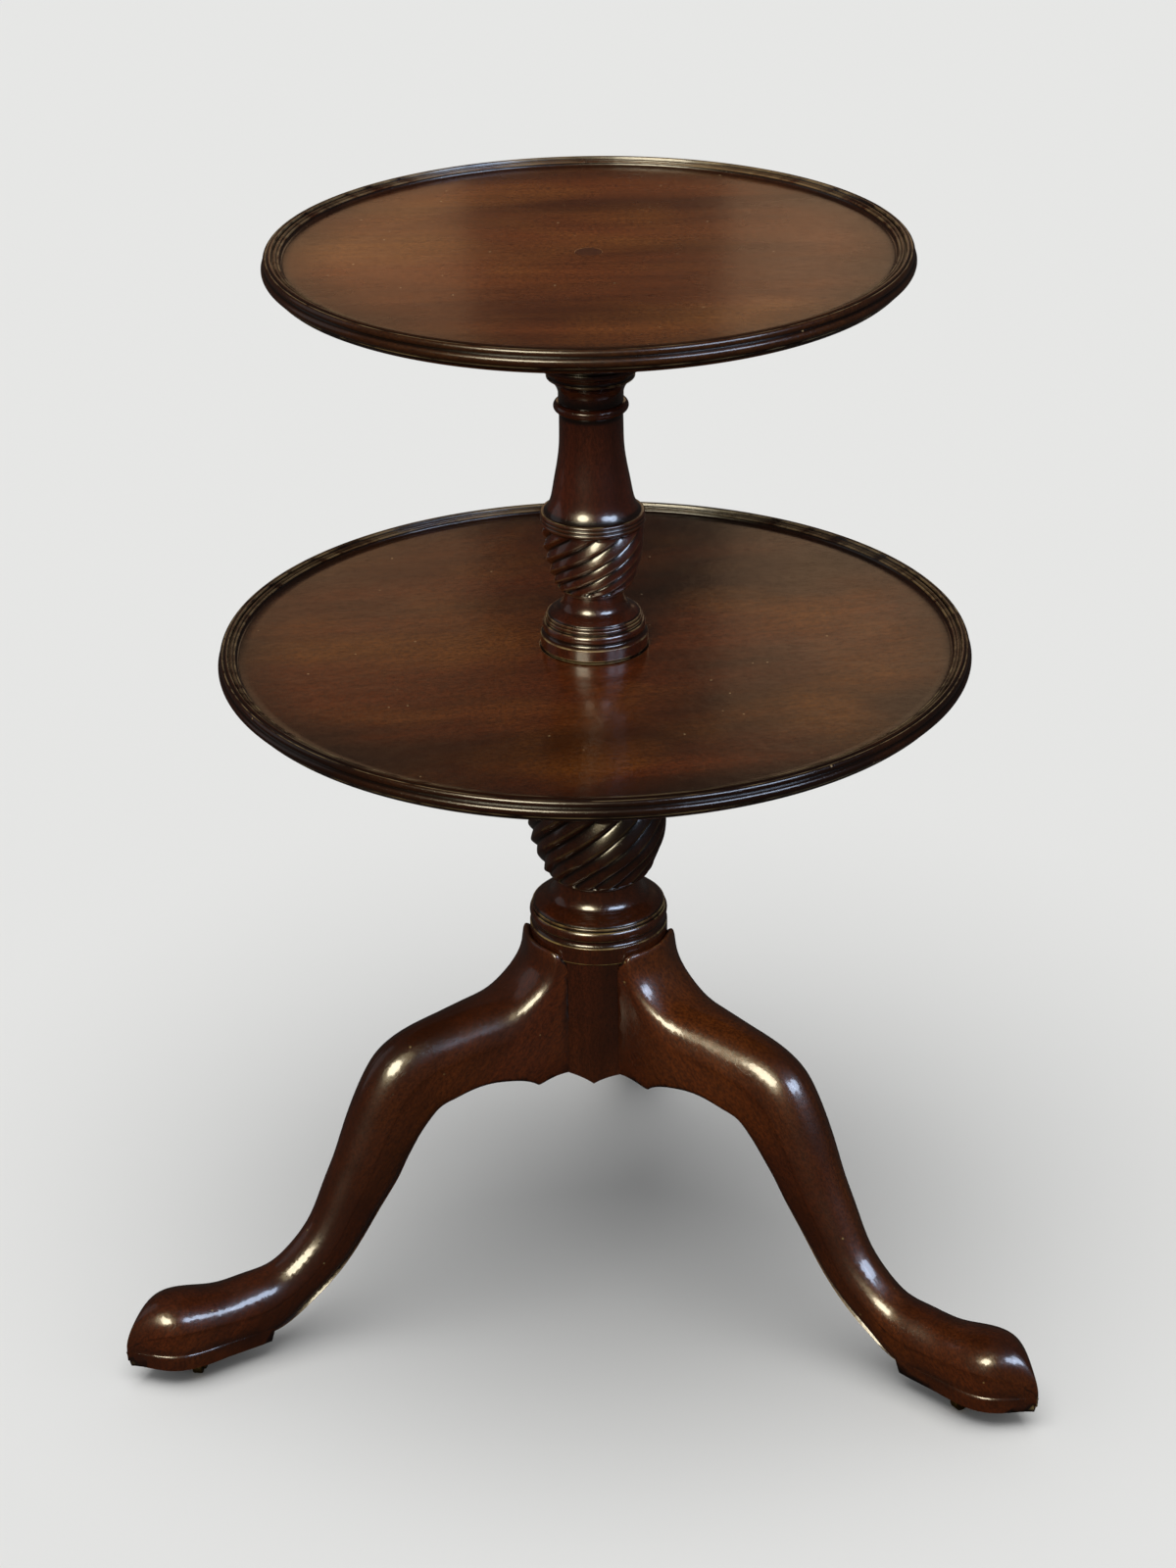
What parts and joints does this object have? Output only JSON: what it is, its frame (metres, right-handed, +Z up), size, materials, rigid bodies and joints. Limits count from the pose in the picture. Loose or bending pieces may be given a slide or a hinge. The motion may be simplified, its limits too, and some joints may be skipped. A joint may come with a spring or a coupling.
{
  "type": "dumbwaiter table",
  "caption": "Tiered mahogany dumbwaiter table with turning dished round trays on a carved column, cabriole legs and pad feet on castors.",
  "frame": {"origin": "on the floor, under the axis of the column, where the mount floor_stance is", "axes": "+Z up along the column's axis, which both trays turn about; -Y is the front; one leg points to +Y and two point to the front left and front right"},
  "size_m": [0.7448, 0.7298, 0.9135],
  "materials": {
    "column_mahogany": "french polish over carved and turned dark mahogany",
    "leg_mahogany": "french polish over dark red-brown mahogany",
    "tray_mahogany": "french polish over figured mahogany, worn at the rim",
    "plug_mahogany": "polished mahogany end grain",
    "iron": "forged and dark",
    "steel_screw": "dull, slotted",
    "brass": "dark and tarnished",
    "wheel_brass": "worn and tarnished"
  },
  "bodies": {
    "base": {"pillar": "column_mahogany", "leg_left": "leg_mahogany", "leg_right": "leg_mahogany", "leg_rear": "leg_mahogany", "iron_bracket": "iron", "bracket_screws": "steel_screw", "upper_column": "column_mahogany", "pivot_washer": "brass", "pivot_screw": "steel_screw", "castor_plate_left": "brass", "castor_plate_right": "brass", "castor_plate_rear": "brass", "castor_screws_left": "steel_screw", "castor_screws_right": "steel_screw", "castor_screws_rear": "steel_screw"},
    "lower_tray_body": {"lower_tray": "tray_mahogany", "lower_boss": "tray_mahogany", "lower_boss_screws": "steel_screw"},
    "upper_tray_body": {"upper_tray": "tray_mahogany", "upper_boss": "tray_mahogany", "upper_boss_screws": "steel_screw", "centre_plug": "plug_mahogany"},
    "castor_left": {"castor_fork_left": "brass", "castor_axle_left": "steel_screw"},
    "wheel_left": {"castor_wheel_left": "wheel_brass"},
    "castor_right": {"castor_fork_right": "brass", "castor_axle_right": "steel_screw"},
    "wheel_right": {"castor_wheel_right": "wheel_brass"},
    "castor_rear": {"castor_fork_rear": "brass", "castor_axle_rear": "steel_screw"},
    "wheel_rear": {"castor_wheel_rear": "wheel_brass"}
  },
  "joints": [
    {"name": "lower_tray_spin", "type": "hinge", "parent": "base", "child": "lower_tray_body", "pos_m": [0, 0, 0.5425], "axis": [0, 0, 1], "continuous": true},
    {"name": "upper_tray_spin", "type": "hinge", "parent": "base", "child": "upper_tray_body", "pos_m": [0, 0, 0.867], "axis": [0, 0, 1], "continuous": true},
    {"name": "castor_swivel_left", "type": "hinge", "parent": "base", "child": "castor_left", "pos_m": [-0.31783, -0.1835, 0.0189], "axis": [0, 0, 1], "continuous": true},
    {"name": "wheel_spin_left", "type": "hinge", "parent": "castor_left", "child": "wheel_left", "pos_m": [-0.31783, -0.1935, 0.0075], "axis": [1, 0, 0], "continuous": true},
    {"name": "castor_swivel_right", "type": "hinge", "parent": "base", "child": "castor_right", "pos_m": [0.31783, -0.1835, 0.0189], "axis": [0, 0, 1], "continuous": true},
    {"name": "wheel_spin_right", "type": "hinge", "parent": "castor_right", "child": "wheel_right", "pos_m": [0.31017, -0.18993, 0.0075], "axis": [0.6428, -0.766, 0], "continuous": true},
    {"name": "castor_swivel_rear", "type": "hinge", "parent": "base", "child": "castor_rear", "pos_m": [0, 0.367, 0.0189], "axis": [0, 0, 1], "continuous": true},
    {"name": "wheel_spin_rear", "type": "hinge", "parent": "castor_rear", "child": "wheel_rear", "pos_m": [-0.00174, 0.35715, 0.0075], "axis": [0.9848, -0.1736, 0], "continuous": true}
  ]
}
